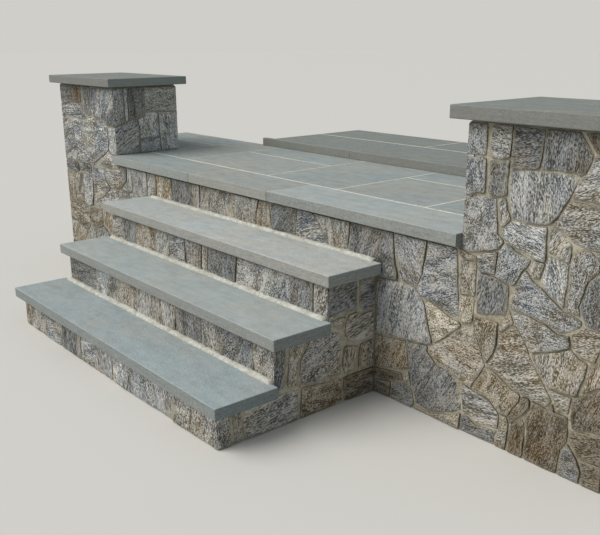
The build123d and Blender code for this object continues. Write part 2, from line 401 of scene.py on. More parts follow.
FRONT_RIGHT = """
slate 70 773,757 1028,757 1040,660 1060,580 1065,545 950,536 938,536 938,585 763,585 763,660
blue 120 1028,757 1218,757 1210,680 1198,610 1173,542 1065,545 1060,580 1040,660
blue 12 1218,757 1366,757 1380,600 1390,478 1365,458 1300,480 1240,500 1195,508 1168,526 1173,542 1198,610 1210,680
blue 82 938,536 950,536 1065,545 1173,542 1168,526 1195,508 1210,495 1242,400 1270,322 1250,310 1120,296 938,275
pale 14 1210,495 1240,500 1300,480 1365,458 1396,454 1403,433 1345,380 1270,322 1242,400
warm 172 1250,310 1270,322 1345,380 1403,433 1420,450 1460,445 1495,385 1530,310 1468,196 1420,208 1355,230 1295,238
  1240,285
warm 60 1366,757 1420,737 1455,738 1464,706 1380,708
warm 80 1380,708 1464,706 1463,570 1384,568
pale 85 1384,568 1463,570 1458,465 1415,450 1396,454 1390,478
grey 20 1455,738 1500,758 1552,770 1544,675 1464,673 1464,706
slate 75 1464,673 1544,675 1610,653 1612,580 1600,528 1466,502 1463,570
blue 55 1552,770 1554,780 1575,810 1620,790 1693,769 1677,732 1656,708 1633,660 1610,653 1544,675
grey 70 1693,769 1746,765 1730,700 1700,696 1677,732
blue 176 1612,580 1633,660 1656,708 1677,732 1700,696 1750,672 1833,616 1906,602 1906,576 1865,538 1820,528 1760,552
  1690,562 1616,564
light 100 1752,800 1836,782 1840,700 1833,616 1750,672 1730,700 1746,765
grey 75 1836,782 1840,815 1875,843 1915,840 1948,815 1950,775 1918,745 1904,710 1886,640 1906,602 1833,616 1840,700
grey 60 1746,898 1795,892 1840,850 1840,815 1836,782 1810,786 1752,800 1747,830
light 165 1546,833 1560,857 1594,893 1640,893 1710,892 1746,898 1747,830 1746,765 1693,769 1620,790 1575,810
blue 95 1572,1073 1630,1076 1690,1082 1810,1085 1844,1075 1813,1000 1772,924 1746,898 1710,892 1640,893 1594,893
  1578,930 1573,976
light 88 1530,966 1573,976 1578,930 1594,893 1560,857 1544,858
blue 70 1384,945 1435,963 1500,968 1530,966 1544,858 1546,833 1575,810 1554,780 1500,758 1420,737 1384,760
blue 92 1384,1234 1470,1234 1472,1105 1384,1102
blue 85 1384,1102 1472,1105 1476,970 1435,963 1384,945
blue 170 1484,1234 1576,1234 1572,1110 1520,1098 1482,1100
slate 88 1482,1100 1520,1098 1572,1110 1572,1073 1573,976 1530,966 1484,970
slate 10 1576,1234 1704,1234 1700,1130 1690,1082 1630,1076 1572,1073 1572,1110
slate 95 1704,1234 1825,1234 1888,1152 1862,1087 1844,1075 1810,1085 1690,1082 1700,1130
umber 80 1825,1234 1980,1234 1970,1160 1888,1152
grey 20 1888,1152 1970,1160 1990,1075 1980,995 1900,997 1813,1000 1844,1075 1862,1087
grey 15 1813,1000 1900,997 1980,995 1995,900 1960,845 1915,840 1875,843 1840,850 1795,892 1746,898 1772,924
grey 80 1980,1234 2164,1234 2164,1080 2060,1065 1990,1075 1970,1160
blue 30 1990,1075 2060,1065 2164,1080 2164,910 2070,885 1995,900 1980,995
light 100 1995,900 2070,885 2164,910 2164,757 2080,730 2000,760 1950,775 1948,815 1915,840 1960,845
slate 85 1918,745 1950,775 2000,760 2010,660 1995,575 1915,580 1906,602 1886,640 1904,710
grey 60 2000,760 2080,730 2164,757 2164,600 2070,570 1995,575 2010,660
warm 10 1906,576 1915,580 1995,575 1985,530 1965,458 1910,463 1876,490 1865,538
grey 12 1616,564 1690,562 1760,552 1820,528 1865,538 1876,490 1830,466 1715,420 1665,490 1643,515
warm 40 1600,528 1612,580 1616,564 1643,515 1595,468 1572,473 1575,505
warm 80 1466,502 1575,505 1572,473 1573,410 1558,360 1530,310 1495,385 1460,445 1458,465
warm 25 1595,468 1643,515 1665,490 1715,420 1793,315 1826,275 1805,239 1738,248 1655,260 1565,308 1530,310 1558,360
  1573,410 1572,473
warm 85 1715,420 1830,466 1876,490 1910,463 1943,455 1940,410 1918,325 1900,313 1793,315
warm 20 1793,315 1900,313 1894,265 1892,240 1838,237 1826,275
rust 70 1530,310 1565,308 1655,260 1695,252 1690,220 1645,142 1610,138 1550,183 1468,196
umber 60 1695,252 1738,248 1738,215 1710,170 1655,110 1645,142 1690,220
umber 75 1738,248 1805,239 1826,275 1838,237 1892,240 1898,140 1875,100 1865,0 1725,0 1728,120 1710,170 1738,215
umber 70 1900,313 1918,325 1990,375 2030,400 2050,300 2030,215 1905,190 1892,240 1894,265
rust 80 1943,455 1965,458 1985,530 2030,520 2030,400 1990,375 1918,325 1940,410
light 20 1995,575 2070,570 2164,600 2164,440 2080,400 2030,400 2030,520 1985,530
slate 90 2030,400 2080,400 2164,440 2164,260 2090,220 2030,215 2050,300
umber 25 1905,190 2030,215 2035,100 1940,93 1898,140 1892,240
warm 20 2030,215 2090,220 2164,260 2164,90 2100,70 2035,100
slate 10 1898,140 1940,93 1960,45 1955,0 1865,0 1875,100
umber 5 1940,93 2035,100 2040,0 1955,0 1960,45
warm 5 2035,100 2100,70 2164,90 2164,0 2040,0
umber 70 1655,110 1710,170 1728,120 1725,0 1650,0
warm 10 1610,138 1645,142 1655,110 1650,0 1590,0 1605,70
grey 5 1420,208 1468,196 1550,183 1610,138 1605,70 1500,55 1430,83
slate 5 1430,83 1500,55 1605,70 1590,0 1425,0
rust 65 938,275 1120,296 1135,240 1143,165 1100,146 980,123 938,120
slate 60 1120,296 1250,310 1240,285 1295,238 1355,230 1420,208 1423,150 1430,83 1370,50 1260,15 1185,25 1165,90
  1143,165 1135,240
umber 5 938,120 980,123 1100,146 1120,105 1050,85 938,65
slate 10 1050,85 1120,105 1165,90 1185,25 1170,0 1040,0
umber 5 938,65 1050,85 1040,0 938,0
warm 5 1185,25 1260,15 1370,50 1430,83 1425,0 1170,0
warm 60 1100,146 1143,165 1165,90 1120,105
"""

FRONT_MIDDLE = """
pale 70 -903,757 -730,757 -730,585 -903,585
slate 90 -730,757 -505,757 -505,585 -730,585
warm 90 -505,757 -423,757 -428,585 -505,585
grey 80 -423,757 -123,757 -123,585 -428,585
grey 100 -123,757 115,757 90,660 85,585 -123,585
warm 90 115,757 193,757 203,680 220,585 85,585 90,660
slate 60 193,757 415,757 400,660 400,585 220,585 203,680
blue 20 415,757 505,757 570,700 645,585 400,585 400,660
grey 100 505,757 773,757 763,660 763,585 645,585 570,700
"""

FRONT_LEFT = """
slate 10 -2164,1234 -1995,1234 -1985,1110 -2090,1095 -2164,1105
umber 100 -1995,1234 -1840,1234 -1845,1115 -1900,1103 -1985,1110
slate 95 -1840,1234 -1705,1234 -1700,1040 -1760,1030 -1810,1045 -1845,1115
blue 95 -1705,1234 -1550,1234 -1565,1120 -1545,1015 -1600,1030 -1700,1040
blue 60 -1550,1234 -1384,1234 -1384,977 -1490,980 -1545,1015 -1565,1120
blue 5 -2164,1105 -2090,1095 -1985,1110 -1900,1103 -1845,1115 -1810,1045 -1770,1008 -1900,1000 -2030,1015 -2164,995
light 175 -2000,1010 -1900,1000 -1770,1008 -1760,1030 -1700,1040 -1600,1030 -1545,1015 -1490,980 -1480,890 -1485,830
  -1560,790 -1710,723 -1760,735 -1870,780 -1960,800 -2000,900
blue 20 -2164,995 -2030,1015 -2000,1010 -2000,900 -1960,800 -1970,705 -2060,710 -2164,700
light 80 -1384,977 -1384,800 -1450,805 -1485,830 -1480,890 -1490,980
light 10 -1485,830 -1450,805 -1384,800 -1384,720 -1500,705 -1580,715 -1710,723 -1560,790
blue 5 -1960,800 -1870,780 -1760,735 -1710,723 -1720,703 -1760,705 -1970,705
slate 5 -2164,700 -2060,710 -1970,705 -1950,640 -2040,620 -2164,635
slate 170 -1970,705 -1760,705 -1755,620 -1860,630 -1950,640
blue 10 -1720,703 -1580,715 -1565,625 -1630,605 -1700,600 -1755,620 -1760,705
grey 10 -1580,715 -1500,705 -1384,720 -1330,715 -1315,620 -1380,580 -1500,580 -1565,625
slate 90 -1384,757 -1270,757 -1265,660 -1315,620 -1330,715 -1384,720
blue 95 -1270,757 -1195,757 -1195,600 -1250,585 -1315,620 -1265,660
blue 85 -1195,757 -1005,757 -1003,600 -1080,575 -1195,600
grey 60 -1005,757 -903,757 -903,585 -938,570 -1003,600
warm 85 -2164,635 -2040,620 -2035,470 -2040,405 -2164,385
warm 80 -2040,620 -1950,640 -1905,635 -1900,490 -1960,475 -2035,470
light 60 -1905,635 -1860,630 -1755,620 -1760,500 -1780,425 -1830,410 -1900,430 -1900,490
grey 15 -1755,620 -1700,600 -1630,605 -1565,625 -1500,580 -1510,565 -1600,510 -1690,475 -1760,500
grey 5 -1760,500 -1690,475 -1600,510 -1510,565 -1500,580 -1380,580 -1384,450 -1500,420 -1650,420 -1780,425
warm 5 -2035,470 -1960,475 -1900,490 -1900,430 -1830,410 -1840,360 -1950,340 -2040,360 -2040,405
rust 0 -2164,385 -2040,405 -2040,360 -2060,270 -2164,260
warm 20 -1830,410 -1780,425 -1650,420 -1640,300 -1720,270 -1840,280 -1840,360
warm 80 -1650,420 -1500,420 -1480,280 -1560,260 -1640,300
grey 100 -1500,420 -1384,450 -1340,410 -1320,280 -1400,250 -1480,280
warm 5 -2040,360 -1950,340 -1840,360 -1840,280 -1900,220 -2060,270
warm 60 -2164,260 -2060,270 -1900,220 -1920,90 -2040,100 -2164,120
grey 110 -1900,220 -1840,280 -1720,270 -1710,120 -1800,90 -1920,90
light 20 -1720,270 -1640,300 -1560,260 -1530,120 -1600,80 -1710,120
warm 70 -1560,260 -1480,280 -1400,250 -1390,100 -1460,80 -1530,120
umber 5 -2164,120 -2040,100 -2030,0 -2164,0
grey 5 -2040,100 -1920,90 -1800,90 -1810,0 -2030,0
blue 5 -1800,90 -1710,120 -1600,80 -1610,0 -1810,0
warm 5 -1600,80 -1530,120 -1460,80 -1470,0 -1610,0
grey 10 -1380,580 -1315,620 -1250,585 -1240,440 -1340,410 -1384,450
blue 80 -1250,585 -1195,600 -1080,575 -1090,420 -1180,400 -1240,440
grey 120 -1080,575 -1003,600 -938,570 -938,400 -1020,380 -1090,420
slate 30 -1340,410 -1240,440 -1180,400 -1160,250 -1240,220 -1320,280
warm 170 -1180,400 -1090,420 -1020,380 -1010,240 -1080,200 -1160,250
grey 90 -1020,380 -938,400 -938,220 -1010,240
blue 5 -1400,250 -1320,280 -1240,220 -1250,90 -1320,70 -1390,100
warm 60 -1240,220 -1160,250 -1080,200 -1090,80 -1170,60 -1250,90
slate 100 -1080,200 -1010,240 -938,220 -938,70 -1010,50 -1090,80
umber 5 -1460,80 -1390,100 -1320,70 -1310,0 -1470,0
grey 5 -1320,70 -1250,90 -1170,60 -1160,0 -1310,0
slate 5 -1170,60 -1090,80 -1010,50 -1010,0 -1160,0
warm 5 -1010,50 -938,70 -938,0 -1010,0
"""

# The flight's side, in millimetres up the flight from the middle of the footprint, and up from the ground
FLIGHT_SIDE = """
slate 20 -756.5,555 -583,555 -582,405 -630,400 -680,405 -756.5,395
slate 5 -583,555 -474.5,555 -474.5,388 -560,384 -582,405
warm 0 -756.5,395 -680,405 -630,400 -660,360 -680,335 -720,353 -756.5,353
warm 15 -630,400 -582,405 -560,384 -474.5,388 -474.5,252 -570,250 -635,265 -665,315 -660,360
warm 80 -570,250 -474.5,252 -474.5,128 -575,125 -580,180
warm 90 -668,260 -635,265 -570,250 -580,180 -575,125 -665,128 -675,200
grey 25 -905,260 -840,353 -720,353 -680,335 -665,315 -668,260 -675,200 -665,128 -800,135 -900,145 -915,190
slate 80 -1038.5,353 -970,353 -965,300 -978,151 -1038.5,151
warm 70 -970,353 -840,353 -905,260 -915,190 -900,145 -978,151 -965,300
rust 0 -900,145 -800,135 -665,128 -655,0 -910,0
umber 5 -665,128 -575,125 -474.5,128 -474.5,0 -655,0
grey 85 -1320.5,151 -1250,151 -1245,0 -1320.5,0
warm 85 -1250,151 -1205,151 -1195,0 -1245,0
grey 10 -1205,151 -978,151 -900,145 -910,0 -1195,0
"""

# The piers' inner faces above the landing, measured in the same way
PIER_INNER = """
blue 90 -474.5,1234 -402,1234 -400,1010 -435,998 -474.5,980
light 90 -402,1234 -372,1234 -372,1022 -400,1010
slate 85 -372,1234 -253,1234 -252,1068 -260,1043 -372,1022
grey 10 -253,1234 -14.5,1234 -14.5,1060 -120,1065 -252,1068
blue 40 -474.5,980 -435,998 -400,1010 -372,1022 -315,1030 -302,980 -305,808 -474.5,808
light 80 -315,1030 -260,1043 -252,1068 -160,1067 -153,900 -303,896 -302,980
blue 5 -303,896 -153,900 -150,808 -305,808
light 95 -160,1067 -120,1065 -14.5,1060 -14.5,808 -150,808 -153,900
"""

MILLIMETRES = 1000

# Each riser is one course. Its joints are given at their top and foot, in centimetres from the middle of the flight.
RISER_COURSES = {
    "riser_1": (
        ((-87, -87.5), (-65.6, -66), (-44, -46), (-23, -23.5), (-3, -10.5), (9, 9), (29, 23), (67.5, 61.5)),
        ("warm", "grey", "blue", "slate", "blue", "blue", "light", "blue", "grey"),
    ),
    "riser_2": (
        ((-60.5, -62.5), (-36, -35), (-18, -20), (0, -1), (20.5, 19), (41.5, 42), (56, 56), (80, 81)),
        ("slate", "light", "warm", "grey", "grey", "slate", "grey", "slate", "grey"),
    ),
    "riser_3": (
        (
            *((-80.8, -80.5), (-66, -67), (-44, -47), (-30.5, -30), (-15, -14), (1, 0)),
            *((6, 5), (31, 28.5), (45.8, 46), (70.5, 69), (85.5, 85)),
        ),
        ("grey", "slate", "warm", "grey", "blue", "grey", "grey", "slate", "grey", "blue", "slate", "grey"),
    ),
}
CENTIMETRE = 0.01
RISER_GRAINS = (80, 95, 70, 10, 110)

# Heights of the joints where hidden walls turn a corner: below the landing, in the recess and on the piers
WALL_JOINTS = (0, 0.16, 0.33, 0.47, 0.61)
RECESS_JOINTS = (0, 0.19, 0.36, 0.52, 0.68)
PIER_JOINTS = (0.93, 1.07)

# How often each kind of stone comes, in the order of the kinds, and how its grain may lie, where nothing was traced
KIND_SHARES = (16, 20, 22, 12, 14, 4, 6, 6)
GRAINS = (0, 10, 80, 95, 30, 150)

# Rubble: widths and heights of its stones, how far a seed strays from its row and the most that it may weigh, how far
# stones reach in from a corner, and the width of that strip
STONE_WIDTHS = (0.15, 0.36)
ROW_HEIGHTS = (0.13, 0.25)
LEAST_ROW = 0.09
SEED_STRAY = 0.05
SEED_WEIGHT = 0.008
CORNER_REACH = (0.05, 0.13)
CORNER_STRIP = 0.30

# A stone's outline: what counts as on a line, the gap at the ground, and the range of a joint beside its setting
NEAR = 0.0015
GROUND_GAP = 0.0015
JOINT_RANGE = (0.6, 1.5)
# The least room around a stone's middle, the fewest points of a rim, and how far corners are rounded in the outline
LEAST_ROOM = 0.004
FEWEST_POINTS = 6
CORNER_SOFTNESS = 0.0009
# How far outlines wander where a stone was broken, beside the joint, and how many waves of it there are to the metre
WANDER = 0.21
WANDER_WAVES = (22, 85)

# A stone's face: how far it may stand out, and how far it and its highest points stand on the house side
HIGHEST = 0.012
FLUSH_FACE = (-0.006, -0.0005)
# Its facets: how many, their slopes, the steps between them and how deep they may go
FACET_COUNTS = (2, 3, 3, 4)
FACET_SLOPES = (0.01, 0.06)
FACET_STEPS = (0.0, 0.006)
FACET_DEPTH = 0.008
# How long a stone's streaks are and how strong its ridges
STRETCHES = (0.5, 0.75, 1.0, 1.0, 1.3)
RIDGES = (0.5, 1.5)
# How far inside its rim a ring of points runs, and then in parts of the mesh spacing: the steps along its outline,
# points that are too near to keep, the rows of the grid, how far its points stray and the room they leave to the ring
RING = 0.0035
OUTLINE_STEP, TOO_NEAR, ROW_STEP, STRAY, RING_ROOM = 0.9, 0.18, 0.87, 0.22, 0.35
# How far an arris is rounded, the width of that, and the width over which the face's relief fades towards it
ROUNDING = 0.003
ROUNDED_WIDTH = 0.012
FADE_WIDTH = 0.045
# The width of the rim that mortar may smear, and how deep the stone is bedded
RIM_WIDTH = 0.02
BEDDED = 0.03

OUTWARD = {"+x": (1, 0, 0), "-x": (-1, 0, 0), "+y": (0, 1, 0), "-y": (0, -1, 0)}
SIDES = {"left": -1, "right": 1}
# The start of an arris that runs up the whole wall
FROM_GROUND = -1


def traced(text):
    """The stones of a text, with their corners in metres."""
    stones = []
    for word in text.split():
        if word in STONE_KINDS:
            stones.append([word])
        elif "," in word:
            stones[-1][2].append(tuple(float(number) / MILLIMETRES for number in word.split(",")))
        else:
            stones[-1] += [int(word), []]
    return stones


class WallPlane:
    """A face of a wall: u runs level along it, v is the height and h stands out from it."""

    def __init__(self, outward, place):
        """outward is the side it faces, such as -y, and place is its distance from the middle on that side."""
        self.out = Vector(OUTWARD[outward])
        self.along = Vector((abs(self.out.y), abs(self.out.x), 0))
        self.origin = self.out * place
        self.turned = self.along.cross(Vector((0, 0, 1))).dot(self.out) < 0

    def point(self, u, v, h):
        return self.origin + self.along * u + Vector((0, 0, v)) + self.out * h


def smooth(value, width):
    """0 at 0 and below, 1 at width and above, with a soft start and end."""
    t = np.clip(np.asarray(value, float) / width, 0, 1)
    return t * t * (3 - 2 * t)


def to_segments(points, corners):
    """Distance from each point to each edge of a closed outline, as an array of points by edges."""
    step = np.roll(corners, -1, 0) - corners
    share = ((points[:, None] - corners) * step).sum(2) / (step**2).sum(1)
    nearest = corners + np.clip(share, 0, 1)[..., None] * step
    return np.linalg.norm(points[:, None] - nearest, axis=2)


def to_lines(points, corners):
    """Signed distance from each point to the line of each edge, positive inside."""
    step = np.roll(corners, -1, 0) - corners
    inward = np.stack([-step[:, 1], step[:, 0]], 1) / np.linalg.norm(step, axis=1)[:, None]
    return ((points[:, None] - corners) * inward).sum(2)


def swept_areas(corners):
    """Twice the area between the origin and each edge, positive where the outline runs anticlockwise."""
    following = np.roll(corners, -1, 0)
    return corners[:, 0] * following[:, 1] - following[:, 0] * corners[:, 1]


def is_inside(points, outline):
    """Whether each point lies inside a closed outline, by counting the edges to its right."""
    inside = np.zeros(len(points), bool)
    x, y = points[:, 0], points[:, 1]
    for (x1, y1), (x2, y2) in zip(outline, np.roll(outline, -1, 0)):
        if y1 != y2:
            inside ^= ((y1 > y) != (y2 > y)) & (x < (x2 - x1) * (y - y1) / (y2 - y1) + x1)
    return inside


def spread_along(corners, spacing):
    """The corners of a closed outline and points between them, at most spacing apart."""
    found = []
    for a, b in zip(corners, np.roll(corners, -1, 0)):
        count = max(1, math.ceil(np.linalg.norm(b - a) / spacing))
        found += [a + (b - a) * i / count for i in range(count)]
    return np.array(found)


def noise_at(points, across, up, depth, offset=Vector()):
    """Noise at each point of an array, scaled by across and up."""
    return np.array([noise.noise(Vector((x * across, y * up, depth)) + offset) for x, y in points])


class StoneLayer:
    """Gathers the stones of one piece and makes them one mesh."""

    def __init__(self, number, lift=0.0, fineness=1.0):
        """number gives the layer its own random draws, lift makes the stones lighter, and fineness sets the size of
        their streaks, where 1 is the finest."""
        self.facing = bpy.context.scene.stone_facing
        self.lift, self.fineness = lift, fineness
        self.random = random.Random(self.facing.seed * 100 + number)
        self.points, self.faces = [], []
        self.grain, self.kind, self.tone, self.rim = [], [], [], []

    def lay_all(self, plane, stones, arrises=(), **how):
        for stone in stones:
            self.lay(plane, stone, arrises, **how)

    def lay(self, plane, stone, arrises=(), top=None, joint=None, detail=None, flush=False):
        """Splits one stone to its outline. An edge on an arris runs out to the corner, where the stone of the next
        face meets it: each arris is its u and the height from which it runs up. An edge at the ground or at top is cut
        straight. A flush stone stays behind the wall's face."""
        facing, rnd = self.facing, self.random
        kind, angle, corners = stone
        proud, highest = FLUSH_FACE if flush else (facing.proud, HIGHEST)
        joint = joint or facing.joint_width
        spacing = detail or facing.detail
        corners = np.array(corners, float)
        if swept_areas(corners).sum() < 0:
            corners = corners[::-1].copy()
        following = np.roll(corners, -1, 0)

        margins, is_arris, is_straight = [], [], []
        for a, b in zip(corners, following):
            on_arris = any(max(abs(a[0] - u), abs(b[0] - u)) < NEAR and max(a[1], b[1]) > low for u, low in arrises)
            # A thin open joint is left under the slab that lies on the stone
            under_slab = top is not None and abs(a[1] - top) < NEAR
            straight = abs(a[1] - b[1]) < NEAR and (a[1] < NEAR or under_slab)
            is_arris.append(on_arris)
            is_straight.append(straight)
            gap = facing.slab_gap if under_slab else GROUND_GAP
            margins.append(
                ROUNDING - proud if on_arris else gap if straight else joint / 2 * rnd.uniform(*JOINT_RANGE)
            )
        margins, is_arris = np.array(margins), np.array(is_arris)
        is_line = is_arris | np.array(is_straight)
        wander = rnd.uniform(0, 90)

        def edge_gaps(points):
            """Distance to each edge of the stone itself."""
            gaps = np.where(is_line, to_lines(points, corners), to_segments(points, corners)) - margins
            long, short = (noise_at(points, waves, waves, wander) for waves in WANDER_WAVES)
            return gaps + np.where(is_line, 0, WANDER * joint * (long + 0.7 * short)[:, None])

        def blend_of(gaps):
            """The least of the gaps, rounded off where two are alike, which rounds the stone's corners."""
            least = gaps.min(1)
            return least - CORNER_SOFTNESS * np.log(np.exp(-(gaps - least[:, None]) / CORNER_SOFTNESS).sum(1))

        swept = swept_areas(corners)
        middle = ((corners + following) * swept[:, None]).sum(0) / (3 * swept.sum())
        if blend_of(edge_gaps(middle[None]))[0] < LEAST_ROOM:
            return

        def rings_from(hub):
            """The stone's rim, found by halving on rays from hub that run a little past the outline, and the ring of
            points inside it, which keeps off the hub."""
            reach = spread_along(corners, spacing * OUTLINE_STEP) - hub
            ray_length, halvings = 1.06, 13
            low, high = np.zeros(len(reach)), np.full(len(reach), ray_length)
            for _ in range(halvings):
                share = (low + high) / 2
                inside = blend_of(edge_gaps(hub + reach * share[:, None])) > 0
                low, high = np.where(inside, share, low), np.where(inside, high, share)
            rim = hub + reach * low[:, None]
            rim[:, 1] = np.clip(rim[:, 1], 0, top)
            keep = np.linalg.norm(rim - np.roll(rim, 1, 0), axis=1) > spacing * TOO_NEAR
            rim, reach = rim[keep], reach[keep]
            inset = np.minimum(RING, 0.4 * np.linalg.norm(rim - hub, axis=1))
            return rim, rim - reach * (inset / np.linalg.norm(reach, axis=1))[:, None]

        rim, inner = rings_from(middle)
        if len(rim) < FEWEST_POINTS:
            return

        # Points over the face, in a grid of triangles turned with the grain, each a little off its place
        theta = math.radians(angle + rnd.uniform(-4, 4))
        along = np.array([math.cos(theta), math.sin(theta)])
        across = np.array([-along[1], along[0]])
        radius = np.linalg.norm(rim - middle, axis=1).max()
        steps = np.arange(-radius, radius + spacing, spacing)
        grid = np.array(
            [
                middle + along * s + across * (t * ROW_STEP) + along * (spacing / 2 * (i % 2))
                for i, t in enumerate(steps)
                for s in steps
            ]
        )
        jitter = np.array([[rnd.uniform(-1, 1), rnd.uniform(-1, 1)] for _ in grid])
        grid = grid + jitter * spacing * STRAY
        grid = grid[to_lines(grid, corners).max(1) > 0]
        # Where the ring crosses itself, because a hollow side hides behind another, both rings are found again on rays
        # from the place that sees every side best
        low, high = corners.min(0), corners.max(0)
        cells = 40
        places = np.array([low + (high - low) * (i, j) / cells for i in range(1, cells) for j in range(1, cells)])
        best_view = places[(to_lines(places, corners) - margins).min(1).argmax()]
        for hub in (middle, best_view):
            if hub is best_view:
                rim, inner = rings_from(hub)
            filling = grid[is_inside(grid, rim)]
            if len(filling):
                filling = filling[blend_of(edge_gaps(filling)) > RING + spacing * RING_ROOM]
            flat = [Vector(p) for p in (*inner, *filling)]
            inside_only, tolerance = 1, 1e-7
            out_points, _, out_faces, *_ = delaunay_2d_cdt(flat, [], [list(range(len(inner)))], inside_only, tolerance)
            if len(out_points) == len(flat):
                break
        face_points = np.array([[p.x, p.y] for p in out_points])

        # The split face: a few flat facets, ridges along the grain, and edges that roll off to the joints
        facets = []
        for _ in range(rnd.choice(FACET_COUNTS)):
            lean = rnd.uniform(0, 2 * math.pi)
            slope = rnd.uniform(*FACET_SLOPES)
            facets.append((slope * math.cos(lean), slope * math.sin(lean), rnd.uniform(*FACET_STEPS)))
        offset = Vector((rnd.uniform(-40, 40), rnd.uniform(-40, 40), rnd.uniform(-40, 40)))
        stretch = rnd.choice(STRETCHES) * self.fineness
        ridge = rnd.uniform(*RIDGES)

        def joint_and_arris_gap(points):
            """The distance to the nearest joint and to the nearest arris."""
            gaps = edge_gaps(points)
            return np.where(is_arris, 1, gaps).min(1), np.where(is_arris, gaps, 1).min(1)

        def height_of(points):
            joint_gap, arris_gap = joint_and_arris_gap(points)
            local = points - middle
            in_grain = np.stack([local @ along, local @ across], 1)
            lowest = np.min([a * local[:, 0] + b * local[:, 1] + c for a, b, c in facets], axis=0)
            # Ridges along the grain, fine ones between them, and swells 100 mm wide
            split = (
                0.0017 * ridge * noise_at(in_grain, 14, 75, 0, offset)
                + 0.0009 * noise_at(in_grain, 60, 190, 3, offset)
                + 0.0030 * noise_at(in_grain, 9, 13, 7, offset)
            )
            height = (
                proud
                + smooth(arris_gap, FADE_WIDTH) * (facing.relief * (np.clip(lowest, -FACET_DEPTH, FACET_DEPTH) + split))
                - facing.drop * (1 - smooth(joint_gap, facing.shoulder))
                - ROUNDING * (1 - smooth(arris_gap, ROUNDED_WIDTH))
            )
            return np.minimum(height, highest)

        # Three rows of points: the rim at the stone's back, the rim at its front, and the face
        base, count = len(self.points), len(rim)
        rows = ((rim, np.full(count, -BEDDED)), (rim, height_of(rim)), (face_points, height_of(face_points)))
        for row, (places, heights) in enumerate(rows):
            joint_gap, arris_gap = joint_and_arris_gap(places)
            # The back points take the painted shade and dirt of the joints, as do the sides down to them, but not at an
            # arris, where they show
            at_back = np.where(arris_gap < ROUNDING + 0.001, 1.0, -1.0)
            rims = smooth(joint_gap, RIM_WIDTH) if row else at_back
            for (u, v), h, value in zip(places, heights, rims):
                self.points.append(plane.point(u, v, h))
                local = np.array([u, v]) - middle
                self.grain.append(
                    (local @ along * stretch + offset.x, local @ across * self.fineness + offset.y, h + offset.z)
                )
                self.rim.append(float(value))
        made = len(self.points) - base
        self.kind += [KIND_PLACES[kind]] * made
        self.tone += [rnd.random() + self.lift] * made

        # The back, two rings of sides, and the face, whose first points are the inner ring's
        faces = [tuple(reversed(range(base, base + count)))]
        for low in (base, base + count):
            faces += [(low + i, low + j, low + count + j, low + count + i) for i, j in ring_pairs(count)]
        faces += [tuple(base + 2 * count + i for i in face) for face in out_faces]
        self.faces += [tuple(reversed(face)) for face in faces] if plane.turned else faces

    def make(self, name, *nodes):
        mesh = bpy.data.meshes.new(name)
        mesh.from_pydata([tuple(p) for p in self.points], [], self.faces)
        for key, numbers in (("kind", self.kind), ("tone", self.tone), ("rim", self.rim)):
            mesh.attributes.new(key, "FLOAT", "POINT").data.foreach_set("value", numbers)
        grain = mesh.attributes.new("grain", "FLOAT_VECTOR", "POINT")
        grain.data.foreach_set("vector", np.array(self.grain, np.float32).ravel())
        mesh.validate()
        piece = bpy.data.objects.new(name, mesh)
        bpy.context.scene.collection.objects.link(piece)
        deselect()
        piece.select_set(True)
        bpy.context.view_layer.objects.active = piece
        bpy.ops.object.shade_smooth_by_angle(angle=math.radians(50))
        dress(piece, "stone", nodes)


def ring_pairs(count):
    """Each number below count with the next one round."""
    return [(i, (i + 1) % count) for i in range(count)]


def reaches(stone, tops):
    """The height among tops that the stone reaches within 2 mm, or None."""
    highest = max(v for _, v in stone[2])
    return next((top for top in tops if abs(highest - top) < 0.002), None)


def heights_on(stones, u):
    """The heights at which joints meet the arris at u."""
    return sorted({round(v, 4) for _, _, corners in stones for x, v in corners if abs(x - u) < NEAR})


def cut_by(outline, middle, normal):
    """The part of a convex outline behind a line through middle."""
    kept = []
    sides = [(p - middle) @ normal for p in outline]
    for i, j in ring_pairs(len(outline)):
        if sides[i] <= 0:
            kept.append(outline[i])
        if (sides[i] <= 0) != (sides[j] <= 0):
            kept.append(outline[i] + (outline[j] - outline[i]) * sides[i] / (sides[i] - sides[j]))
    return kept


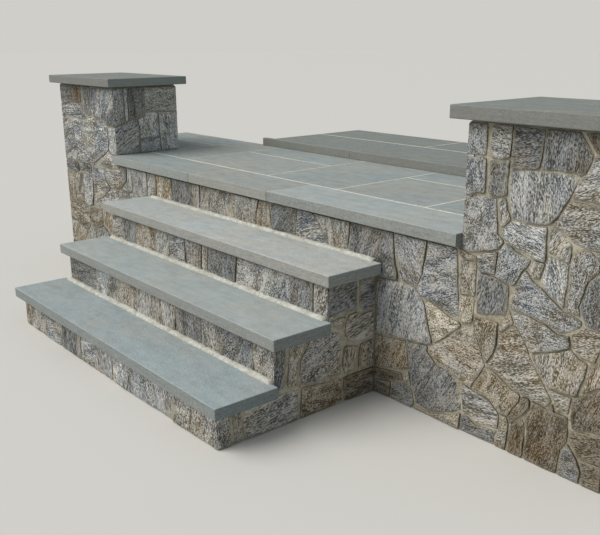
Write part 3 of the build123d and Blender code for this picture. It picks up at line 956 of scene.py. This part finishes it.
def rubble(u_low, u_high, v_low, v_high, rnd, start_joints=(), end_joints=()):
    """Irregular stones that fill a rectangle of wall. start_joints and end_joints are the heights at which the joints
    meet its two ends, so that the stones of the next face go round the corner. Each stone is the part of the
    wall that is nearest to its seed, less the seed's weight."""
    seeds = []
    tolerance, sliver, thin_row = 0.001, 0.02, 0.03
    for joints, side in ((start_joints, 1), (end_joints, -1)):
        levels = [v for v in joints if v_low - tolerance <= v <= v_high + tolerance]
        for a, b in zip(levels, levels[1:]):
            depth = rnd.uniform(*CORNER_REACH)
            at = u_low + depth if side > 0 else u_high - depth
            seeds.append((at, (a + b) / 2, depth**2 + ((b - a) / 2) ** 2))
    u_first = u_low + (CORNER_STRIP if start_joints else 0)
    u_last = u_high - (CORNER_STRIP if end_joints else 0)
    v = v_low
    while v < v_high - thin_row:
        row = min(rnd.uniform(*ROW_HEIGHTS), v_high - v)
        if v_high - v - row < LEAST_ROW:
            row = v_high - v
        u = u_first
        while u < u_last - sliver:
            span = rnd.uniform(*STONE_WIDTHS)
            if u + span / 2 < u_last + sliver:
                at = v + row / 2 + rnd.uniform(-SEED_STRAY, SEED_STRAY)
                seeds.append((u + span / 2, at, rnd.uniform(0, SEED_WEIGHT)))
            u += span
        v += row
    box = [np.array(p) for p in ((u_low, v_low), (u_high, v_low), (u_high, v_high), (u_low, v_high))]
    stones = []
    # Neither the seed itself nor one over a metre away has a say
    itself, far = 1e-6, 1.2
    for u, v, weight in seeds:
        outline, here = box, np.array((u, v))
        for x, y, other_weight in seeds:
            step = np.array((x, y)) - here
            square = step @ step
            if outline and itself <= square <= far:
                outline = cut_by(outline, here + step * (0.5 + (weight - other_weight) / (2 * square)), step)
        if len(outline) > 2:
            kind = rnd.choices(list(STONE_KINDS), KIND_SHARES)[0]
            stones.append((kind, rnd.choice(GRAINS), [tuple(p) for p in outline]))
    return stones


def wall_mortar(node, insets, depth=None, finish="mortar", flush=()):
    """The mortar of one wall, behind its stones: its CAD block, drawn back by the joint depth on the sides that insets
    names, deeper on the flush sides, and let into its neighbours elsewhere. Its top edges are raked to a slope, so that
    the bed joint under a slab is open, and it is cut into small faces and made uneven by hand height."""
    facing = bpy.context.scene.stone_facing
    into, face_size = 0.012, 0.035
    depths = {side: depth or facing.joint_depth for side in insets} | {side: facing.flush_depth for side in flush}
    low, high = (Vector(corner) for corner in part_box(node))
    for axis, letter in enumerate("xyz"):
        low[axis] += depths.get("-" + letter, -into)
        high[axis] -= depths.get("+" + letter, -into)
    low.z = max(low.z, 0)
    mortar = block(node + "_mortar", low, high)
    select_edges(mortar, lambda a, b: min(a.z, b.z) > high.z - NEAR)
    bpy.ops.mesh.bevel(offset=2 * into, offset_type="OFFSET", segments=1)
    for axis in range(3):
        select_edges(mortar, lambda a, b: abs((b - a)[axis]) > 0.999 * (b - a).length)
        bpy.ops.mesh.subdivide(number_cuts=max(1, round((high[axis] - low[axis]) / face_size) - 1))
    bpy.ops.object.mode_set(mode="OBJECT")
    make_uneven(mortar, size=0.05, strength=0.012)
    for vertex in mortar.data.vertices:
        vertex.co.z = max(vertex.co.z, 0)
    dress(mortar, finish, (node,))


# Operators, one for each piece or group of pieces


class STEPS_OT_materials(bpy.types.Operator):
    """Makes the materials of stone, mortar, bluestone and fill"""

    bl_idname = "steps.materials"
    bl_label = "Materials"

    def execute(self, context):
        colours = context.scene.stone_colours
        edge_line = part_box("landing_edge_middle")[1].y
        MATERIALS["stone"] = split_gneiss()
        MATERIALS["mortar"] = struck_mortar("struck_wall_mortar", tuple(colours.mortar), low=0.5)
        MATERIALS["tight_mortar"] = struck_mortar("struck_tight_mortar", tuple(colours.tight_mortar))
        MATERIALS["paving_mortar"] = struck_mortar(
            "brushed_paving_mortar", tuple(colours.paving_mortar), 0.012, 0.7, tuple(colours.edge_mortar), edge_line
        )
        MATERIALS["fillet"] = struck_mortar("struck_fillet_mortar", tuple(colours.fillet_mortar), 0.008)
        for name, (front, ends) in PAINTED_EDGE_SHADE.items():
            MATERIALS[name] = thermal_bluestone(f"thermal_bluestone_{name}", tuple(getattr(colours, name)), front, ends)
        MATERIALS["fill"] = cast_fill()
        return {"FINISHED"}


class STEPS_OT_slabs(bpy.types.Operator):
    """Finishes the treads, caps, edge slabs and paving, which keep their CAD shapes"""

    bl_idname = "steps.slabs"
    bl_label = "Slabs and paving"

    def execute(self, context):
        finishes = {
            "blue_slabs": ("tread_1",),
            "mid_slabs": ("tread_2", "landing_edge_right"),
            "grey_slabs": ("tread_3",),
            "cool_flags": ("landing_edge_left", "landing_side_edge_left"),
            "warm_flags": ("landing_edge_middle", "landing_side_edge_right"),
            # The upper step takes slabs darkened with painted shade
            "upper_slabs": ("upper_edge_left", "upper_edge_right", "upper_flags"),
            "dark_slabs": ("left_pier_cap", "right_pier_cap"),
            "fillet": ("tread_mortar",),
            "paving_mortar": ("landing_bed", "upper_bed"),
            "fill": ("flight_core", "landing_core", "upper_core"),
        }
        for finish, nodes in finishes.items():
            for node in nodes:
                cover(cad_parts[node].data, finish)
        # The flags differ: each takes a cooler or a warmer finish by its place
        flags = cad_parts["landing_flags"].data
        cover(flags, "cool_flags", "warm_flags")
        column_joints, row_joint, side_joint = (-0.96, -0.15, 0.40, 0.97), 0.27, 1.38
        for polygon in flags.polygons:
            x, y, _ = polygon.center
            column = sum(x > joint for joint in column_joints)
            polygon.material_index = (column + (y > row_joint)) % 2 if abs(x) < side_joint else 0
        return {"FINISHED"}


class STEPS_OT_risers(bpy.types.Operator):
    """Lays the course of stones under each tread"""

    bl_idname = "steps.risers"
    bl_label = "Risers"

    def execute(self, context):
        facing = context.scene.stone_facing
        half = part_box("right_return_1")[1].x
        for number, (name, (joints, kinds)) in enumerate(RISER_COURSES.items()):
            low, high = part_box(name)
            # The lowest course is made darker with painted shade, for the little light that the ground gives back to it
            layer = StoneLayer(number, 0.0 if number else -0.7, fineness=0.8)
            ends = [(-half / CENTIMETRE,) * 2, *joints, (half / CENTIMETRE,) * 2]
            for kind, (top_a, foot_a), (top_b, foot_b) in zip(kinds, ends, ends[1:]):
                corners = ((foot_a, low.z), (foot_b, low.z), (top_b, high.z), (top_a, high.z))
                corners = [(u * CENTIMETRE, v) for u, v in corners]
                stone = (kind, layer.random.choice(RISER_GRAINS), corners)
                joint = facing.tight_joint_width
                layer.lay(WallPlane("-y", -low.y), stone, [(-half, 0), (half, 0)], top=high.z, joint=joint)
            layer.make(name + "_stones", name)
            wall_mortar(name, ["-y"], facing.smeared_depth, "tight_mortar")
        return {"FINISHED"}


class STEPS_OT_pointing(bpy.types.Operator):
    """Strikes the uneven fillets of mortar where the treads meet the risers behind them"""

    bl_idname = "steps.pointing"
    bl_label = "Mortar behind the treads"

    def execute(self, context):
        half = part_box("right_return_1")[1].x
        # How far the fillets stand out from the wall and up from the tread, and are let into both
        out, up, into_wall, down = 0.027, 0.01, 0.006, 0.02
        for number, wall in enumerate(("riser_2", "riser_3", "front_wall"), 1):
            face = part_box(wall)[0].y
            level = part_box(f"tread_{number}")[1].z
            low = Vector((-half, face - out, level - down))
            high = Vector((half, face + into_wall, level + up))
            fillet = block(f"tread_{number}_fillet", low, high)
            # The upper front edge is taken off to a slope and rounded, then the length is cut up to be made uneven
            for reach, offset, segments in ((NEAR, 0.0095, 1), (0.02, 0.0045, 2)):
                select_edges(fillet, lambda a, b: max(a.y, b.y) < low.y + reach and min(a.z, b.z) > high.z - NEAR)
                bpy.ops.mesh.bevel(offset=offset, offset_type="OFFSET", segments=segments)
            select_edges(fillet, lambda a, b: abs(b.x - a.x) > half)
            bpy.ops.mesh.subdivide(number_cuts=150)
            bpy.ops.object.mode_set(mode="OBJECT")
            for size, strength in ((0.11, 0.01), (0.05, 0.005)):
                make_uneven(fillet, size, strength)
            bpy.ops.object.shade_smooth()
            dress(fillet, "fillet")
        return {"FINISHED"}


class STEPS_OT_flight_sides(bpy.types.Operator):
    """Lays the stones on both sides of the flight"""

    bl_idname = "steps.flight_sides"
    bl_label = "Sides of the flight"

    def execute(self, context):
        facing = context.scene.stone_facing
        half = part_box("right_return_1")[1].x
        lifts = [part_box(f"right_return_{n}") for n in (1, 2, 3)]
        arrises = [(low.y, low.z - 0.001) for low, _ in lifts]
        for number, (side, out) in enumerate((("right", "+x"), ("left", "-x"))):
            # The flight's sides lie in shade, and lift makes their stones lighter with painted light
            layer = StoneLayer(10 + number, lift=0.5, fineness=0.75)
            for stone in traced(FLIGHT_SIDE):
                top = reaches(stone, [high.z for _, high in lifts])
                layer.lay(WallPlane(out, half), stone, arrises, top=top, joint=facing.wide_joint_width)
            nodes = [f"{side}_return_{n}" for n in (1, 2, 3)]
            layer.make(f"{side}_return_stones", *nodes)
            for node in nodes:
                wall_mortar(node, [out, "-y"], facing.smeared_depth)
        return {"FINISHED"}


class STEPS_OT_front(bpy.types.Operator):
    """Lays the stones of the front wall and of the piers' fronts, which are one plane"""

    bl_idname = "steps.front"
    bl_label = "Front wall and pier fronts"

    def execute(self, context):
        facing = context.scene.stone_facing
        pier_low, pier_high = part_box("right_pier")
        wall_low, wall_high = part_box("front_wall")
        plane = WallPlane("-y", -wall_low.y)
        left, wall, right = StoneLayer(20, -1.3, 0.72), StoneLayer(21, -0.4, 0.95), StoneLayer(22, -0.2)
        # The piers' inner arrises start above the landing's edge slabs
        above_wall = wall_high.z + 0.04
        arrises = [(sign * pier_high.x, FROM_GROUND) for sign in SIDES.values()]
        arrises += [(sign * pier_low.x, above_wall) for sign in SIDES.values()]
        for stone in traced(FRONT_LEFT + FRONT_MIDDLE + FRONT_RIGHT):
            centre = sum(u for u, _ in stone[2]) / len(stone[2])
            layer = wall if abs(centre) < pier_low.x else right if centre > 0 else left
            joint = facing.tight_joint_width
            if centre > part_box("right_return_1")[1].x:
                joint = facing.joint_width
                # The wall's stones right of the flight are made lighter with painted light, against the shade that
                # falls there
                wall.lift = 0.6
            layer.lay(plane, stone, arrises, top=reaches(stone, (wall_high.z, pier_high.z)), joint=joint)
        wall.make("front_wall_stones", "front_wall")
        left.make("left_pier_front_stones", "left_pier")
        right.make("right_pier_front_stones", "right_pier")
        wall_mortar("front_wall", ["-y"])
        wall_mortar("left_pier", OUTWARD, facing.smeared_depth, "tight_mortar")
        wall_mortar("right_pier", OUTWARD)
        return {"FINISHED"}


class STEPS_OT_pier_sides(bpy.types.Operator):
    """Lays the stones on the other faces of the piers and on the landing's outer walls"""

    bl_idname = "steps.pier_sides"
    bl_label = "Pier sides and side walls"

    def execute(self, context):
        facing = context.scene.stone_facing
        pier_low, pier_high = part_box("right_pier")
        wall_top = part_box("front_wall")[1].z
        house_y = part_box("right_side_wall")[1].y
        front_arris, back_arris, house_arris = ((y, FROM_GROUND) for y in (pier_low.y, pier_high.y, house_y))
        levels = (wall_top, *PIER_JOINTS, pier_high.z)
        for number, (side, sign) in enumerate(SIDES.items()):
            out, inward = ("-x", "+x") if side == "left" else ("+x", "-x")
            layer = StoneLayer(30 + number, fineness=0.75)
            corner_joints = heights_on(traced(FRONT_LEFT if side == "left" else FRONT_RIGHT), sign * pier_high.x)
            if side == "left":
                corner_joints = sorted([*corner_joints, wall_top])
            wall_stones = rubble(
                pier_low.y, house_y, 0, wall_top, layer.random, corner_joints, (*WALL_JOINTS, wall_top)
            )
            pier_stones = rubble(
                pier_low.y, pier_high.y, wall_top, pier_high.z, layer.random, corner_joints, levels
            )
            outer = WallPlane(out, pier_high.x)
            layer.lay_all(outer, wall_stones, (front_arris, house_arris), top=wall_top)
            layer.lay_all(outer, pier_stones, (front_arris, back_arris), top=pier_high.z)
            ends = sorted((sign * pier_low.x, sign * pier_high.x))
            behind = rubble(*ends, wall_top, pier_high.z, layer.random, levels, levels)
            arrises = [(end, FROM_GROUND) for end in ends]
            layer.lay_all(WallPlane("+y", pier_high.y), behind, arrises, top=pier_high.z)
            # The inner faces lie in the shade of the porch and are made lighter to match
            layer.lift = 1.0
            joint = facing.tight_joint_width if side == "left" else None
            inner = WallPlane(inward, -pier_low.x)
            layer.lay_all(inner, traced(PIER_INNER), (front_arris, back_arris), top=pier_high.z, joint=joint)
            layer.make(f"{side}_pier_side_stones", f"{side}_side_wall")
            wall_mortar(f"{side}_side_wall", [out], flush=["+y"])
        return {"FINISHED"}


class STEPS_OT_house_side(bpy.types.Operator):
    """Lays the stones that face the house, with their faces flush, because the house stands against them"""

    bl_idname = "steps.house_side"
    bl_label = "House side"

    def execute(self, context):
        wall_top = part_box("front_wall")[1].z
        outer, house_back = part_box("right_side_wall")[1].x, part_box("right_back_wall")[1].y
        recess, house_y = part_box("right_recess_wall")[1].x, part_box("right_recess_wall")[0].y
        _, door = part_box("door_wall")
        flush = {"flush": True, "detail": 0.02}
        levels = (*WALL_JOINTS, wall_top)
        recess_levels = (*RECESS_JOINTS, door.z)
        for number, (side, sign) in enumerate(SIDES.items()):
            layer = StoneLayer(40 + number)
            ends = sorted((sign * outer, sign * recess))
            joints = {"start_joints" if sign < 0 else "end_joints": levels}
            stones = rubble(*ends, 0, wall_top, layer.random, **joints)
            layer.lay_all(WallPlane("+y", house_back), stones, [(sign * outer, FROM_GROUND)], top=wall_top, **flush)
            layer.make(f"{side}_back_wall_stones", f"{side}_back_wall")
            wall_mortar(f"{side}_back_wall", [], flush=["+y"])
            layer = StoneLayer(50 + number)
            stones = rubble(house_y, door.y, 0, door.z, layer.random, end_joints=recess_levels)
            out = "+x" if sign > 0 else "-x"
            layer.lay_all(WallPlane(out, recess), stones, [(door.y, FROM_GROUND)], top=door.z, **flush)
            layer.make(f"{side}_recess_wall_stones", f"{side}_recess_wall")
            wall_mortar(f"{side}_recess_wall", [], flush=[out, "+y"])
        layer = StoneLayer(60)
        stones = rubble(-recess, recess, 0, door.z, layer.random, recess_levels, recess_levels)
        arrises = [(-recess, FROM_GROUND), (recess, FROM_GROUND)]
        layer.lay_all(WallPlane("+y", door.y), stones, arrises, top=door.z, **flush)
        layer.make("door_wall_stones", "door_wall")
        wall_mortar("door_wall", [], flush=["+y"])
        return {"FINISHED"}


class STEPS_OT_stage(bpy.types.Operator):
    """Adds the camera, the lights, the sky and the plain floor"""

    bl_idname = "steps.stage"
    bl_label = "Stage"

    def execute(self, context):
        scene, stage = context.scene, context.scene.stone_stage
        deselect()
        # The floor lies just under the steps' foot, so that no two faces share a plane
        bpy.ops.mesh.primitive_plane_add(size=500, location=(0, 0, -0.002))
        floor = context.object
        floor.name = "floor"
        material, tree = new_material("painted_floor")
        paint = {"Base Color": (*stage.floor_colour, 1), "Roughness": 0.9, "Specular IOR Level": 0.2}
        add(tree, "OutputMaterial", {"Surface": add(tree, "BsdfPrincipled", paint)})
        floor.data.materials.append(material)

        # The view of the photograph: focal length and principal point in pixels of a picture 600 wide, then the
        # camera's place in metres and its turns in degrees
        picture_width, picture_height = 600, 535
        focal, centre_x, centre_y = 782.55, 291.63, 280.04
        place, turns = (3.1936, -2.8032, 1.5104), (50.526, 17.094, -0.332)
        camera = bpy.data.cameras.new("camera")
        camera.sensor_width = 36
        camera.lens = focal / picture_width * camera.sensor_width
        camera.shift_x = (picture_width / 2 - centre_x) / picture_width
        camera.shift_y = (centre_y - picture_height / 2) / picture_width
        camera.clip_start, camera.clip_end = 0.05, 100
        turn, fall, roll = (math.radians(a) for a in turns)
        forward = Vector((-math.sin(turn) * math.cos(fall), math.cos(turn) * math.cos(fall), -math.sin(fall)))
        level = Vector((math.cos(turn), math.sin(turn), 0))
        upright = level.cross(forward)
        right = level * math.cos(roll) + upright * math.sin(roll)
        up = upright * math.cos(roll) - level * math.sin(roll)
        turned = Matrix((right, up, -forward)).transposed().to_4x4()
        scene.camera = bpy.data.objects.new("camera", camera)
        scene.collection.objects.link(scene.camera)
        scene.camera.matrix_world = Matrix.Translation(place) @ turned

        # The key light falls from the front left, as soft as a bright part of a cloudy sky
        key = bpy.data.lights.new("key", "SUN")
        key.energy, key.angle, key.color = stage.key_strength, math.radians(50), linear("#fffaf3")
        lamp = bpy.data.objects.new("key", key)
        scene.collection.objects.link(lamp)
        lamp.rotation_euler = Vector((0.47, 0.74, -0.86)).to_track_quat("-Z", "Y").to_euler()

        # The sky lights the steps; the camera sees a plain pale backdrop in its place
        scene.world = bpy.data.worlds.new("sky")
        scene.world.use_nodes = True
        tree = scene.world.node_tree
        tree.nodes.clear()
        sky = add(tree, "Background", {"Color": "#e9f1f5", "Strength": stage.sky_strength})
        backdrop = add(tree, "Background", {"Color": "#cfcec9", "Strength": 1.0})
        seen = add(tree, "LightPath").outputs["Is Camera Ray"]
        add(tree, "OutputWorld", {"Surface": add(tree, "MixShader", {0: seen, 1: sky, 2: backdrop})})
        scene.view_settings.view_transform = "Standard"
        return {"FINISHED"}


OPERATORS = (
    STEPS_OT_materials,
    STEPS_OT_slabs,
    STEPS_OT_risers,
    STEPS_OT_pointing,
    STEPS_OT_flight_sides,
    STEPS_OT_front,
    STEPS_OT_pier_sides,
    STEPS_OT_house_side,
    STEPS_OT_stage,
)


class STEPS_PT_panel(bpy.types.Panel):
    """Lists the settings and the pieces in the order in which they are made"""

    bl_idname = "STEPS_PT_panel"
    bl_label = "Stone Steps"
    bl_space_type = "VIEW_3D"
    bl_region_type = "UI"
    bl_category = "Stone Steps"

    def draw(self, context):
        for title in SETTINGS:
            group = getattr(context.scene, title)
            box = self.layout.box()
            box.label(text=title.removeprefix("stone_").capitalize())
            for name in group.bl_rna.properties.keys():
                if name not in ("rna_type", "name"):
                    box.prop(group, name)
        for operator in OPERATORS:
            self.layout.operator(operator.bl_idname)


CLASSES = (*SETTINGS.values(), *OPERATORS, STEPS_PT_panel)


def register():
    for item in CLASSES:
        bpy.utils.register_class(item)
    for name, group in SETTINGS.items():
        setattr(bpy.types.Scene, name, PointerProperty(type=group))


def unregister():
    for name in SETTINGS:
        delattr(bpy.types.Scene, name)
    for item in reversed(CLASSES):
        bpy.utils.unregister_class(item)


def main():
    register()
    for operator in OPERATORS:
        group, name = operator.bl_idname.split(".")
        getattr(getattr(bpy.ops, group), name)()


if __name__ == "__main__":
    main()
